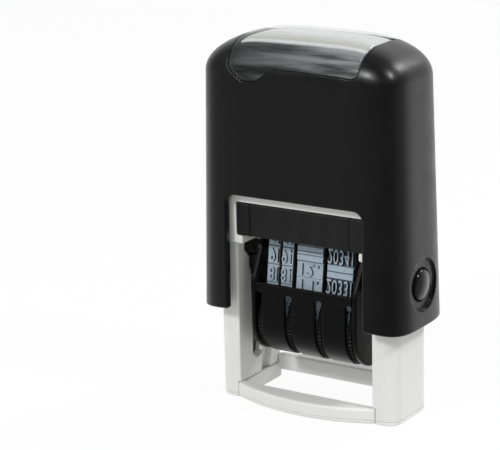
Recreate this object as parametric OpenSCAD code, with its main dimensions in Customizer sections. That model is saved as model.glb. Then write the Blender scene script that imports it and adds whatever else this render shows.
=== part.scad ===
// Rotary (self-inking) date stamp.
// Millimetres, +Z up, origin at the centre of the footprint on the table.
// X runs along the printed line, the front faces -Y, and the case is shown raised.
// The case slides down the base frame and turns the date carrier over as it goes.

/* [Case] */
// Width of the case at its lower edge
case_w = 47; // [46.8:0.1:49]
// Depth of the case at its lower edge
case_d = 22.4; // [22.4:0.1:23.4]
// Height of the whole stamp with the case raised
case_top_z = 76.2; // [76:0.1:78]
// Height of the lower edge of the case above the table
case_bottom_z = 20.2; // [20:0.1:21]
// How much lower the ends of the case reach than the window's lower corners
end_drop = 0.8; // [0.4:0.1:0.9]
// Wall thickness of the case
case_wall = 1.7; // [1.4:0.1:1.8]
// Width of the window in the front and rear of the case
window_w = 31; // [30:0.1:31.2]
// Height of the upper edge of the window
window_top_z = 44; // [43.6:0.1:44.4]
// Radius of the upper corners of the window
window_r = 2; // [1:0.1:3]

/* [Index cover] */
// Width of the clear cover
cover_w = 29; // [26:0.5:30]
// Thickness of the clear cover
cover_t = 1.2; // [1:0.1:1.4]
// Height of the lower edge of the cover's front lip
cover_lip_z = 69.6; // [69:0.1:71]
// Distance of the lift tab from the middle, towards the left
tab_x = 9.7; // [6:0.1:9.8]
// Width of the lift tab
tab_w = 7.6; // [5:0.1:8]

/* [Base] */
// Gap between the two columns
column_gap = 30.8; // [30.6:0.1:31]
// Width over the outer faces of the columns
column_outer_w = 41.2; // [40.8:0.1:41.4]
// How far the front of the columns reaches in front of the middle
column_front_y = 6.95; // [6.8:0.05:7.2]
// Height of the foot bars
foot_h = 3.2; // [2.8:0.1:3.6]
// How far the front foot bar bows out past the columns
foot_bow = 3.6; // [2:0.1:4]
// How far the rear of the columns reaches behind the middle
column_back_y = 8.4; // [7.5:0.1:8.5]
// Height of the rear foot bar's underside above the table
rear_bar_z = 1.6; // [0:0.1:2]

/* [Mechanism] */
// Travel of the case
stroke = 19.2; // [19:0.1:19.4]
// Height of the carrier's pivot with the case raised
pivot_z = 28; // [28:0.05:28.1]
// Height of the wheel axle with the case raised
wheel_z = 17; // [17:0.05:17.1]
// Radius of the knurled setting wheels
wheel_r = 7.2; // [6.8:0.1:7.2]
// Thickness of the rubber date bands
band_t = 1; // [0.8:0.05:1]
// Height of the raised figures on the bands
type_h = 0.75; // [0.5:0.05:0.75]
// Number of turns in the return spring
spring_turns = 8; // [6:1:8]

/* [Hidden] */

$fn = 64;
slack = 0.05;           // running clearance on a radius
gap = 0.1;              // gap between parts that don't touch
far = 60;               // longer than any part, for through cuts
slice_t = 0.02;         // thickness of the case's ribs

// Case
outline_points = 72;
side_power = 8;         // squareness of the plan outline along X
face_power = 3.8;       // squareness of the plan outline along Y
side_taper = 0.025;     // narrowing of the half-width for each mm of height
face_taper = 0.018;     // narrowing of the half-depth for each mm of height
roof_round_x = 13.4;    // how far the roof's rounding reaches in from the sides
roof_round_y = 6.8;     // how far it reaches in from the front and rear
roof_rise = 7.5;        // height of the rounding
roof_shift = 1.25;      // how far the roof's top lies towards the rear
roof_steps = 8;
crown_rise = 0.4;
crown_inset = [5, 1.2];
shoulder_z = case_top_z - crown_rise - roof_rise;
roof_t = 3;
case_dark = [0.11, 0.11, 0.12];

// Index cover and card
card_t = 0.3;
cover_back_y = 7.2;
cover_corner_r = 1.6;
cover_bottom_z = 40;
tab_drop = 2.4;
card_front_y = -5.5;
card_margin = 0.7;

// Base frame
light_grey = [0.89, 0.89, 0.87];
column_x = column_gap / 2;
column_outer_x = column_outer_w / 2;
column_front_r = 3;
column_back_r = 4.5;
channel_x = [17.4, 19.2];
channel_d = 9.2;
channel_low_z = 3.9;
ledge_z = 33.4;
ledge_x = 13.3;
tray_z = 35.15;
tray_w = 29.4;
tray_top_z = 42;
head_top_z = 44.2;
head_w = 40;
head_d = 16.4;
head_r = 3.5;
rail_x = 15;
foot_end_x = 15.95;
foot_back_y = 5.45;
foot_radius = (foot_end_x * foot_end_x + foot_bow * foot_bow) / (2 * foot_bow);
rear_bow = 2.1;
rear_inner_y = 7.4;
rear_radius = (foot_end_x * foot_end_x + rear_bow * rear_bow) / (2 * rear_bow);
rear_bar_h = 3.6;
foot_groove_z = 0.6;
foot_groove = 0.2;

// Pivot and guide
pivot_r = 2;
pivot_hub_r = 3.2;
pivot_end_x = 19;
guide_pin_r = 1.5;
guide_arm = 4.5;        // distance from the pivot to the guide pin
guide_angle = -37;      // its direction, measured from straight up towards the rear
guide_depth = 1.3;
guide_steps = 24;

// Slide bow, inside the case
bow_x = [17.5, 19.1];
bow_d = 9;
bow_low_z = 24;
bow_top_z = 68;
bow_hole_r = 4.8;
bow_bar_t = 1.6;
peg_x = 10.5;
peg_r = 1;
boss_root = 0.3;         // how far the bosses and the post go into the roof

// Arched lower edge of the case
bottom_arc_r = (pow(case_w / 2, 2) - pow(window_w / 2, 2)) / (2 * end_drop);
bottom_arc_z = case_bottom_z - sqrt(pow(bottom_arc_r, 2) - pow(window_w / 2, 2));

// Lock buttons
button_recess_r = 5.3;
button_recess_x = 22.6;
button_r = 3.1;
button_rim_r = 4.1;
button_rim_x = 22.1;
button_inner_x = 21.5;

// Carrier
cheek_x = 11.2;
cheek_t = 1;
cheek_r = 7.3;
cheek_top_z = 34.9;
shell_r = 7.4;
shell_t = 0.75;
shell_top_z = 25.6;
slot_w = 1.6;
slot_top_z = 23.7;
axle_r = 1.25;
disc_t = 0.7;
wheel_hub_r = 4.1;
sprocket_r = 4.5;
sprocket_teeth = 12;
knurl_notches = 54;
knurl_r = 0.25;
carrier_dark = [0.09, 0.08, 0.09];

// Bands
band_inner_r = 4.6;
bridge_w = 4.4;
bridge_top_z = 35;
bridge_h = 3.5;
bridge_r = 1.2;
corner_y = bridge_w / 2 - bridge_r;
corner_z = bridge_top_z - bridge_r;
arc_step = 9;
rubber_blue = [0.6, 0.66, 0.71];

// Places of the wheels and bands along X
day_tens_x = [-10, -7.1];
day_units_x = [-6.7, -3.9];
month_x = [-3.1, 3.1];
year_x = [3.9, 10.1];

// Ink cartridge and pad
cartridge_w = 29;
cartridge_d = 16.6;
cartridge_top_z = 41.9;
cartridge_low_z = 35.2;
pad_z = 36.8;
pad_w = 22.8;
pad_d = 13.6;
pad_t = 3.6;
flute_pitch = 4.5;
flute_r = 0.3;

// Return spring
spring_r = 3.6;
wire_r = 0.45;
coil_steps = 20;
wire_sides = 6;
spring_cup_h = 2.6;
spring_post_h = 6;
cavity_top_z = case_top_z - roof_t;

// ---------------------------------------------------------------- helpers

// Plan outline with bulged sides and soft corners, for half-sizes a and b
function outline(a, b) = [
    for (i = [0:outline_points - 1])
        let (t = 360 * (i + 0.5) / outline_points)
            [a * sign(cos(t)) * pow(abs(cos(t)), 2 / side_power),
             b * sign(sin(t)) * pow(abs(sin(t)), 2 / face_power)]];

function half_w(z) = case_w / 2 - side_taper * (z - case_bottom_z);
function half_d(z) = case_d / 2 - face_taper * (z - case_bottom_z);

// Thin level slice of the case, used as a rib of its hull
module slice(z, inset_x, inset_y, shift) {
    translate([0, shift, z - slice_t])
        linear_extrude(slice_t)
            polygon(outline(half_w(z) - inset_x, half_d(z) - inset_y));
}

// Solid envelope of the case, shrunk by g all round and starting at height low_z
module case_envelope(g, low_z) {
    hull() {
        slice(low_z + slice_t, g, g, 0);
        for (i = [0:roof_steps]) {
            t = 90 * i / roof_steps;
            slice(shoulder_z - g + roof_rise * sin(t), g + roof_round_x * (1 - cos(t)),
                  g + roof_round_y * (1 - cos(t)), roof_shift * (1 - cos(t)));
        }
        slice(case_top_z - g, g + roof_round_x + crown_inset[0],
              g + roof_round_y + crown_inset[1], roof_shift);
    }
}

module rounded_rect(w, d, r) {
    for (x = [-1, 1])
        for (y = [-1, 1])
            translate([x * (w / 2 - r), y * (d / 2 - r)])
                circle(r);
    square([w - 2 * r, d], center = true);
    square([w, d - 2 * r], center = true);
}

// Lays a flat (y, z) shape in the YZ plane and gives it a thickness from x0 to x1
module across(x0, x1) {
    translate([x0, 0, 0])
        rotate([90, 0, 90])
            linear_extrude(x1 - x0)
                children();
}

// Points of an arc about (y, z), from angle a0 to a1
function arc_points(y, z, r, a0, a1) =
    let (n = ceil((a1 - a0) / arc_step))
        [for (i = [0:n]) let (a = a0 + (a1 - a0) * i / n) [y + r * cos(a), z + r * sin(a)]];

// Rod along X
module rod(r, x0, x1, y, z) {
    translate([x0, y, z])
        rotate([0, 90, 0])
            cylinder(r = r, h = x1 - x0);
}

// Direction of the guide pin when the carrier has turned by a
function guide_y(a) = guide_arm * sin(a + guide_angle);
function guide_z(a) = pivot_z - stroke * a / 180 + guide_arm * cos(a + guide_angle);
function guide_dir(a) = atan2(guide_z(a + 1) - guide_z(a - 1), guide_y(a + 1) - guide_y(a - 1));
function guide_side(s) = [
    for (i = [1:guide_steps - 1])
        let (a = 180 * i / guide_steps, n = guide_dir(a) + 90, r = s * (guide_pin_r + gap))
            [guide_y(a) + r * cos(n), guide_z(a) + r * sin(n)]];
function reversed(v) = [for (i = [len(v) - 1:-1:0]) v[i]];

// Round end of the track at turn a, with the middle of its arc at angle middle
function guide_end(a, middle) =
    reversed(arc_points(guide_y(a), guide_z(a), guide_pin_r + gap, middle - 90, middle + 90));

// Flat shape swept by the guide pin as the case goes down, carried on to the foot seat
module guide_track() {
    y = guide_y(180);
    r = guide_pin_r + gap;
    polygon(concat(guide_side(1), [[y + r, foot_h - 0.5], [y - r, foot_h - 0.5],
                   [y - r, guide_z(180)]],
                   reversed(guide_side(-1)), guide_end(0, guide_dir(0) - 180)));
}

// ---------------------------------------------------------------- base

module base_frame() {
    color(light_grey)
        difference() {
            union() {
                for (side = [-1, 1])
                    column(side);
                // Head that holds the ink cartridge
                translate([0, 0, ledge_z])
                    linear_extrude(head_top_z - ledge_z)
                        rounded_rect(head_w, head_d, head_r);
                // Cup round the foot of the return spring
                translate([0, 0, head_top_z - 0.5])
                    cylinder(r = spring_r + 1.6, h = spring_cup_h + 0.5);
            }
            // Tray for the cartridge, open at the front and rear
            translate([-tray_w / 2, -far / 2, tray_z])
                cube([tray_w, far, tray_top_z - tray_z]);
            // Clear space for the carrier below the tray
            translate([-ledge_x, -far / 2, 0])
                cube([2 * ledge_x, far, tray_z + gap]);
            translate([0, 0, head_top_z])
                cylinder(r = spring_r + 0.8, h = far);
            for (side = [-1, 1])
                mirror([side < 0 ? 1 : 0, 0, 0])
                    column_cuts();
        }
}

// Plan of the two columns together, with wider corners at the rear
function columns_outline() =
    let (x = column_outer_x, f = column_front_r, b = column_back_r)
        concat(arc_points(x - f, f - column_front_y, f, -90, 0),
               arc_points(x - b, column_back_y - b, b, 0, 90),
               arc_points(b - x, column_back_y - b, b, 90, 180),
               arc_points(f - x, f - column_front_y, f, 180, 270));

module column(side) {
    intersection() {
        linear_extrude(ledge_z)
            polygon(columns_outline());
        translate([side * (column_x + far / 2), 0, far / 2])
            cube(far, center = true);
    }
}

// Axle slot, guide track, bow channel and foot seat of the right-hand column
module column_cuts() {
    translate([channel_x[0], -channel_d / 2, channel_low_z])
        cube([channel_x[1] - channel_x[0], channel_d, far]);
    // Hole through which the pivot pin is fitted, behind the lock button
    rod(pivot_r + slack, channel_x[1] - gap, case_w, 0, pivot_z);
    across(column_x - 1, channel_x[0] + gap) {
        for (z = [pivot_z - stroke, pivot_z])
            translate([0, z])
                circle(pivot_r + slack);
        translate([-pivot_r - slack, pivot_z - stroke])
            square([2 * (pivot_r + slack), stroke]);
    }
    across(column_x - 1, column_x + guide_depth)
        guide_track();
    translate([0, -far / 2, -1])
        cube([foot_end_x + slack, far, 1 + foot_h]);
}

module foot_frame() {
    color(light_grey)
        difference() {
            union() {
                linear_extrude(foot_h - slack)
                    foot_bar(foot_end_x, foot_back_y, column_front_y + foot_bow, foot_radius);
                translate([0, 0, rear_bar_z])
                    linear_extrude(rear_bar_h)
                        mirror([0, 1, 0])
                            foot_bar(column_x - slack, rear_inner_y,
                                     column_back_y + rear_bow, rear_radius);
                for (x = [-foot_end_x, rail_x])
                    translate([x, -column_front_y, 0])
                        cube([foot_end_x - rail_x, column_front_y + column_back_y,
                              foot_h - slack]);
            }
            // Fine groove along the lower edge of the front bar
            translate([0, 0, foot_groove_z])
                linear_extrude(foot_groove)
                    difference() {
                        foot_bar(foot_end_x + 1, foot_back_y + 1,
                                 column_front_y + foot_bow + 1, foot_radius + 1);
                        foot_bar(foot_end_x + 2, foot_back_y,
                                 column_front_y + foot_bow - foot_groove,
                                 foot_radius - foot_groove);
                    }
        }
}

// Plan of a bar towards -Y: straight inside, and an arc of radius r outside
module foot_bar(end_x, inner_y, outer_y, r) {
    intersection() {
        translate([0, r - outer_y])
            circle(r, $fn = 160);
        translate([-end_x, -outer_y - 1])
            square([2 * end_x, outer_y + 1 - inner_y]);
    }
}

module ink_cartridge() {
    color([0.14, 0.14, 0.14])
        difference() {
            translate([-cartridge_w / 2, -cartridge_d / 2, cartridge_low_z])
                cube([cartridge_w, cartridge_d, cartridge_top_z - cartridge_low_z]);
            // Hollow for the pad, with a rim below it
            translate([-pad_w / 2 - gap, -pad_d / 2 - gap, cartridge_low_z - 1])
                cube([pad_w + 2 * gap, pad_d + 2 * gap, pad_z + pad_t + gap - cartridge_low_z + 1]);
            // Shallow flutes down the front and rear faces
            for (side = [-1, 1])
                for (i = [-2:2])
                    translate([i * flute_pitch, side * cartridge_d / 2, cartridge_low_z - 1])
                        cylinder(r = flute_r, h = far, $fn = 24);
        }
}

module ink_pad() {
    color([0.12, 0.14, 0.3])
        translate([-pad_w / 2, -pad_d / 2, pad_z])
            cube([pad_w, pad_d, pad_t]);
}

// Points of a closed ring of wire, number i along the coil
function coil_ring(i, z0, rise) = [
    for (j = [0:wire_sides - 1])
        let (a = 360 * i / coil_steps, b = 360 * j / wire_sides, r = spring_r + wire_r * cos(b))
            [r * cos(a), r * sin(a), z0 + rise * i + wire_r * sin(b)]];

module return_spring() {
    rings = spring_turns * coil_steps;
    z0 = head_top_z + wire_r + slack;
    rise = (cavity_top_z - head_top_z - 2 * wire_r - 2 * slack) / rings;
    sides = [
        for (i = [0:rings - 1])
            for (j = [0:wire_sides - 1])
                let (k = (j + 1) % wire_sides)
                    [i * wire_sides + j, i * wire_sides + k,
                     (i + 1) * wire_sides + k, (i + 1) * wire_sides + j]];
    first = [for (j = [wire_sides - 1:-1:0]) j];
    last = [for (j = [0:wire_sides - 1]) rings * wire_sides + j];
    color("silver")
        polyhedron(points = [for (i = [0:rings]) each coil_ring(i, z0, rise)],
                   faces = reversed_faces(concat([first, last], sides)));
}

function reversed_faces(faces) = [for (f = faces) reversed(f)];

// ---------------------------------------------------------------- case

// Prism that bounds the clear cover, grown by c all round
module cover_prism(c) {
    intersection() {
        translate([0, cover_back_y - far / 2, cover_bottom_z])
            linear_extrude(far)
                rounded_rect(cover_w + 2 * c, far + 2 * c, cover_corner_r);
        translate([0, far / 2, 0])
            rotate([90, 0, 0])
                linear_extrude(far) {
                    translate([0, cover_lip_z - c + far / 2])
                        rounded_rect(cover_w + 2 * c, far, cover_corner_r);
                    translate([-tab_x, cover_lip_z - tab_drop - c + far / 2])
                        rounded_rect(tab_w + 2 * c, far, tab_w / 2 - 0.2);
                }
    }
}

module outer_case() {
    color(case_dark)
        difference() {
            union() {
                difference() {
                    case_envelope(0, case_bottom_z - end_drop);
                    case_cavity();
                    // Seat for the index card and its clear cover
                    difference() {
                        cover_prism(gap);
                        case_envelope(cover_t + card_t, case_bottom_z);
                    }
                }
                // Post inside the upper end of the return spring
                translate([0, 0, cavity_top_z - spring_post_h])
                    cylinder(r = spring_r - 1, h = spring_post_h + boss_root);
                // Bosses and pegs that hold the slide bow
                for (x = [-peg_x, peg_x])
                    translate([x, 0, bow_top_z + slack]) {
                        cylinder(r = 2 * peg_r, h = cavity_top_z + boss_root - bow_top_z);
                        translate([0, 0, -bow_bar_t - 2 * slack])
                            cylinder(r = peg_r, h = bow_bar_t + 1);
                    }
            }
            window_cut();
            translate([0, 0, bottom_arc_z])
                rotate([90, 0, 0])
                    cylinder(r = bottom_arc_r, h = far, center = true, $fn = 720);
            for (side = [-1, 1])
                mirror([side < 0 ? 1 : 0, 0, 0]) {
                    rod(button_r + slack, column_x, case_w, 0, pivot_z);
                    rod(button_rim_r + slack, column_x, button_rim_x, 0, pivot_z);
                    rod(button_recess_r, button_recess_x, case_w, 0, pivot_z);
                }
        }
}

module case_cavity() {
    intersection() {
        case_envelope(case_wall, case_bottom_z - 2);
        translate([0, 0, cavity_top_z - far])
            linear_extrude(far)
                square([case_w, case_d], center = true);
    }
}

// Opening between the arms, through the front and the rear
module window_cut() {
    translate([0, far / 2, window_top_z - far])
        rotate([90, 0, 0])
            linear_extrude(far)
                translate([0, far / 2])
                    rounded_rect(window_w, far, window_r);
}

// Bow fixed under the roof, whose legs run in the columns and carry the pivot pins
module slide_bow() {
    color(carrier_dark)
        difference() {
            union() {
                translate([-bow_x[1], -bow_d / 2, bow_top_z - bow_bar_t])
                    cube([2 * bow_x[1], bow_d, bow_bar_t]);
                translate([0, 0, bow_top_z - bow_bar_t])
                    cylinder(r = bow_hole_r + 1.6, h = bow_bar_t);
                for (x = [-bow_x[1], bow_x[0]])
                    translate([x, -bow_d / 2, bow_low_z])
                        cube([bow_x[1] - bow_x[0], bow_d, bow_top_z - bow_low_z]);
            }
            translate([0, 0, bow_low_z])
                cylinder(r = bow_hole_r, h = far);
            for (x = [-peg_x, peg_x])
                translate([x, 0, bow_low_z])
                    cylinder(r = peg_r + slack, h = far);
            rod(pivot_r + slack, -far, far, 0, pivot_z);
        }
}

module index_card() {
    color([0.95, 0.95, 0.96])
        intersection() {
            difference() {
                case_envelope(cover_t + 0.04, case_bottom_z);
                case_envelope(cover_t + card_t - 0.04, case_bottom_z);
            }
            translate([card_margin - cover_w / 2, card_front_y, shoulder_z])
                cube([cover_w - 2 * card_margin, cover_back_y - card_margin - card_front_y, far]);
        }
}

module clear_cover() {
    color([0.85, 0.88, 0.9, 0.4])
        intersection() {
            difference() {
                case_envelope(0, case_bottom_z);
                case_envelope(cover_t, case_bottom_z - 1);
            }
            cover_prism(0);
        }
}

// ---------------------------------------------------------------- carrier

// Side plate of the carrier, right hand
module cheek() {
    color(carrier_dark)
        difference() {
            union() {
                across(cheek_x, cheek_x + cheek_t) {
                    translate([0, wheel_z])
                        circle(cheek_r);
                    polygon([[-cheek_r, wheel_z], [cheek_r, wheel_z], [cheek_r, shell_top_z],
                             [cheek_r - 0.3, shell_top_z + 0.8], [3.6, cheek_top_z - 1.9],
                             [2.6, cheek_top_z], [-2.6, cheek_top_z], [-3.6, cheek_top_z - 1.9],
                             [0.3 - cheek_r, shell_top_z + 0.8], [-cheek_r, shell_top_z]]);
                }
                rod(pivot_hub_r, cheek_x + cheek_t, column_x - 2 * gap, 0, pivot_z);
                rod(guide_pin_r, cheek_x, column_x + guide_depth - 2 * gap,
                    guide_y(0), guide_z(0));
            }
            rod(pivot_r, cheek_x - 1, column_x, 0, pivot_z);
            rod(axle_r, cheek_x - 1, column_x, 0, wheel_z);
            across(cheek_x - 1, column_x)
                translate([-1, bridge_top_z - bridge_h + 0.8])
                    square([2, 2]);
        }
}

module left_cheek() {
    mirror([1, 0, 0])
        cheek();
}

module right_cheek() {
    cheek();
}

// Pin that carries one side of the carrier in the slide bow, right hand
module pivot_pin() {
    color("silver")
        rod(pivot_r, cheek_x, pivot_end_x, 0, pivot_z);
}

// Button in the side of the case, right hand
module lock_button() {
    head_x = button_recess_x + 0.5;
    color(case_dark) {
        rod(button_rim_r, button_inner_x, button_rim_x - slack, 0, pivot_z);
        rod(button_r, button_inner_x, head_x, 0, pivot_z);
        translate([head_x, 0, pivot_z])
            rotate([0, 90, 0])
                button_dome();
    }
}

// Shallow dome on the face of the button
module button_dome() {
    dome_h = 0.5;
    dome_r = (button_r * button_r + dome_h * dome_h) / (2 * dome_h);
    rotate_extrude()
        intersection() {
            translate([0, dome_h - dome_r])
                circle(dome_r, $fn = 128);
            square([button_r, dome_h]);
        }
}

module left_lock_button() {
    mirror([1, 0, 0])
        lock_button();
}

module right_lock_button() {
    lock_button();
}

module left_pivot_pin() {
    mirror([1, 0, 0])
        pivot_pin();
}

module right_pivot_pin() {
    pivot_pin();
}

// Bar inside the bands that backs up the line being printed
module platen_bridge() {
    color(carrier_dark) {
        across(-cheek_x, cheek_x) {
            for (side = [-1, 1])
                translate([side * (corner_y - slack), corner_z - slack])
                    circle(bridge_r);
            translate([slack - bridge_w / 2, bridge_top_z - bridge_h])
                square([bridge_w - 2 * slack, bridge_h - bridge_r]);
            translate([-corner_y, bridge_top_z - bridge_h])
                square([2 * corner_y, bridge_h - slack]);
        }
        across(-cheek_x - cheek_t, cheek_x + cheek_t)
            translate([-1, bridge_top_z - bridge_h + 0.8])
                square([2, 2]);
    }
}

module wheel_axle() {
    color("silver")
        rod(axle_r, -cheek_x - cheek_t, cheek_x + cheek_t, 0, wheel_z);
}

// U-shaped shell section, open at the top
module shell_section(r) {
    translate([0, wheel_z])
        circle(r, $fn = 128);
    translate([-r, wheel_z])
        square([2 * r, shell_top_z - wheel_z]);
}

// Cover round the wheels: strips between the setting discs, joined along their upper ends
module wheel_cover() {
    first_x = disc_x(day_tens_x, -1) + slot_w / 2;
    color(carrier_dark)
        difference() {
            across(-cheek_x, cheek_x)
                difference() {
                    shell_section(shell_r);
                    shell_section(shell_r - shell_t);
                }
            translate([first_x - far, -far / 2, slot_top_z - far])
                cube(far);
            for (x = [disc_x(day_units_x, 1), disc_x(month_x, 1), disc_x(year_x, 1)])
                translate([x - slot_w / 2, -far / 2, slot_top_z - far])
                    cube([slot_w, far, far]);
        }
}

// ---------------------------------------------------------------- bands

// Middle of the setting disc beside a band
function disc_x(span, side) = (side > 0 ? span[1] : span[0]) + side * (disc_t / 2 + gap);

// Angle of the straight run's outward normal above the horizontal
run_dy = corner_y;
run_dz = corner_z - wheel_z;
run_l = sqrt(run_dy * run_dy + run_dz * run_dz);
run_a = atan2(run_dz, run_dy) - acos((band_inner_r - bridge_r) / run_l);

// Closed loop round the bridge and the wheel, at distance d outside the band's inner face
function band_loop(d) = concat(
    arc_points(corner_y, corner_z, bridge_r + d, run_a, 90),
    arc_points(-corner_y, corner_z, bridge_r + d, 90, 180 - run_a),
    arc_points(0, wheel_z, band_inner_r + d, 180 - run_a, 360 + run_a));

// Lengths of the loop's pieces at the band's outer face
top_len = 2 * corner_y;
corner_len = (bridge_r + band_t) * (90 - run_a) * PI / 180;
run_len = sqrt(run_l * run_l - pow(band_inner_r - bridge_r, 2));
wheel_len = (band_inner_r + band_t) * (180 + 2 * run_a) * PI / 180;
loop_len = top_len + 2 * (corner_len + run_len) + wheel_len;

// Place of a figure at distance s from the middle of the printing line: [y, z, normal angle]
function on_loop(s) =
    let (a = abs(s), side = s < 0 ? -1 : 1)
        a < top_len / 2 ? [side * a, bridge_top_z + band_t, 90] :
        a < top_len / 2 + corner_len ?
            let (n = 90 - (a - top_len / 2) / (bridge_r + band_t) * 180 / PI)
                [side * (corner_y + (bridge_r + band_t) * cos(n)),
                 corner_z + (bridge_r + band_t) * sin(n), side > 0 ? n : 180 - n] :
        a < top_len / 2 + corner_len + run_len ?
            let (d = a - top_len / 2 - corner_len)
                [side * (corner_y + (bridge_r + band_t) * cos(run_a) + d * sin(run_a)),
                 corner_z + (bridge_r + band_t) * sin(run_a) - d * cos(run_a),
                 side > 0 ? run_a : 180 - run_a] :
            let (n = run_a - (a - top_len / 2 - corner_len - run_len)
                     / (band_inner_r + band_t) * 180 / PI)
                [side * (band_inner_r + band_t) * cos(n),
                 wheel_z + (band_inner_r + band_t) * sin(n), side > 0 ? n : 180 - n];

// Rubber band with raised blocks that carry its figures
module band(span, figures, figure_h) {
    edge = 0.2;
    root = 0.6;
    color(rubber_blue) {
        across(span[0], span[1])
            difference() {
                polygon(band_loop(band_t));
                polygon(band_loop(0));
            }
        for (i = [0:figures - 1]) {
            place = on_loop(loop_len * (i <= figures / 2 ? i : i - figures) / figures);
            across(span[0] + edge, span[1] - edge)
                translate([place[0], place[1]])
                    rotate(place[2])
                        translate([-root, -figure_h / 2])
                            square([root + type_h, figure_h]);
        }
    }
}

module day_tens_band() {
    band(day_tens_x, 16, 2.9);
}

module day_units_band() {
    band(day_units_x, 16, 2.9);
}

module month_band() {
    band(month_x, 19, 2.6);
}

module year_band() {
    band(year_x, 20, 2.5);
}

// Setting wheel: a toothed hub inside the band and a knurled disc on one side of it
module wheel(span, side) {
    disc = disc_x(span, side);
    hub = side > 0 ? [span[0] + slack, disc] : [disc, span[1] - slack];
    color(carrier_dark)
        difference() {
            union() {
                rod(wheel_hub_r, hub[0], hub[1], 0, wheel_z);
                rod(wheel_r, disc - disc_t / 2, disc + disc_t / 2, 0, wheel_z);
                for (i = [0:sprocket_teeth - 1])
                    across(hub[0], hub[1])
                        translate([0, wheel_z])
                            rotate(360 * i / sprocket_teeth)
                                translate([0, -0.4])
                                    square([sprocket_r, 0.8]);
            }
            rod(axle_r + slack, -far, far, 0, wheel_z);
            for (i = [0:knurl_notches - 1]) {
                a = 360 * i / knurl_notches;
                rod(knurl_r, disc - disc_t, disc + disc_t, wheel_r * cos(a),
                    wheel_z + wheel_r * sin(a), $fn = 16);
            }
        }
}

module day_tens_wheel() {
    wheel(day_tens_x, -1);
}

module day_units_wheel() {
    wheel(day_units_x, 1);
}

module month_wheel() {
    wheel(month_x, 1);
}

module year_wheel() {
    wheel(year_x, 1);
}

// ---------------------------------------------------------------- assembly

base_frame();
foot_frame();
ink_cartridge();
ink_pad();
return_spring();
outer_case();
slide_bow();
left_lock_button();
right_lock_button();
index_card();
clear_cover();
left_cheek();
right_cheek();
left_pivot_pin();
right_pivot_pin();
platen_bridge();
wheel_axle();
wheel_cover();
day_tens_band();
day_units_band();
month_band();
year_band();
day_tens_wheel();
day_units_wheel();
month_wheel();
year_wheel();
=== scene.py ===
"""Self-inking date stamp with its case raised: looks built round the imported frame.

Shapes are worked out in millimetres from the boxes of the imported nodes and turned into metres
when a mesh is made. Most shells are the zero level of a distance field, meshed with quads.
"""
import math

import bmesh
import bpy
import numpy as np
from mathutils import Matrix, Vector


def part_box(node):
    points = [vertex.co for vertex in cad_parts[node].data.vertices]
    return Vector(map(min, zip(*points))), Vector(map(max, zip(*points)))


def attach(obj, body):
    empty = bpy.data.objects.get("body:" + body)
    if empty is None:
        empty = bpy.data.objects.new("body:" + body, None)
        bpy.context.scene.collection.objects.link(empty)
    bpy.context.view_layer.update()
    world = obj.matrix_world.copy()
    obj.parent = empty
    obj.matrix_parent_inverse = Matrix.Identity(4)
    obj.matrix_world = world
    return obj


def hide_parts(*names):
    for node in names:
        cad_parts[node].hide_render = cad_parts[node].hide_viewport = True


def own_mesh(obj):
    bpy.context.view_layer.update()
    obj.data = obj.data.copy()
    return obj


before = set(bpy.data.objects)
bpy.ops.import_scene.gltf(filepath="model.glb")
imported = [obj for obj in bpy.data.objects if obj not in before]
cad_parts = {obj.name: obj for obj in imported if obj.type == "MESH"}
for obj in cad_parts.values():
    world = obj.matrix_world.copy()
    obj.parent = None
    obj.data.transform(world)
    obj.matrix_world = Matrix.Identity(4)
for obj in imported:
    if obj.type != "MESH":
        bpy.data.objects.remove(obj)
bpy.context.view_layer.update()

MM = 0.001
VIEW_AZIMUTH, VIEW_ELEVATION = 33.17, 15.81


# ------------------------------------------------------------------ frame sizes

def box_mm(node):
    """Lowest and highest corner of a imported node, in millimetres."""
    lo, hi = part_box(node)
    return np.array(lo) / MM, np.array(hi) / MM


CASE_LO, CASE_HI = box_mm("outer_case")
COVER_LO, COVER_HI = box_mm("clear_cover")
BASE_HI = box_mm("base_frame")[1]
FOOT_HI = box_mm("foot_frame")[1]
INK_LO, INK_HI = box_mm("ink_cartridge")
SHELL_LO, SHELL_HI = box_mm("wheel_cover")
SPRING_LO, SPRING_HI = box_mm("return_spring")

# Case: plan outline is a superellipse that tapers upwards, with a domed roof
CASE_D = 22.4
CASE_TOP = COVER_HI[2]
CASE_LOW = CASE_LO[2]
CASE_WALL = 1.7
SIDE_POWER, FACE_POWER = 8, 3.8
SIDE_TAPER, FACE_TAPER = 0.025, 0.018
END_DROP = 0.8
CASE_W = CASE_HI[0] - CASE_LO[0] - 2 * SIDE_TAPER * END_DROP
ROOF_ROUND_X, ROOF_ROUND_Y, ROOF_RISE = 13.4, 6.8, 7.5
ROOF_SHIFT = 1.25
CROWN_RISE = 0.4
SHOULDER_Z = CASE_TOP - CROWN_RISE - ROOF_RISE
CAVITY_TOP = CASE_TOP - 3
BOSS_X, BOSS_R, BOSS_LOW = 10.5, 2, 68.1
POST_R, POST_LENGTH = 2.6, 6
WINDOW_HALF = 15.5
BOTTOM_Z = CASE_LOW + END_DROP
BOTTOM_ARC_R = ((CASE_W / 2) ** 2 - WINDOW_HALF ** 2) / (2 * END_DROP)
BOTTOM_ARC_Z = BOTTOM_Z - math.sqrt(BOTTOM_ARC_R ** 2 - WINDOW_HALF ** 2)
WINDOW_TOP = 44
WINDOW_R = 2

# Clear cover and card
COVER_HALF = COVER_HI[0]
COVER_BACK = COVER_HI[1]
SKIN_T = 0.5
COVER_GAP = 0.12
LIP_Z = COVER_LO[2] + 2.4
TAB_X, TAB_HALF = -9.7, 3.8
CARD_T = 0.3
CARD_HALF = COVER_HALF - 0.35
CARD_FRONT, CARD_BACK = -5.5, COVER_HI[1] - 0.4

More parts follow.
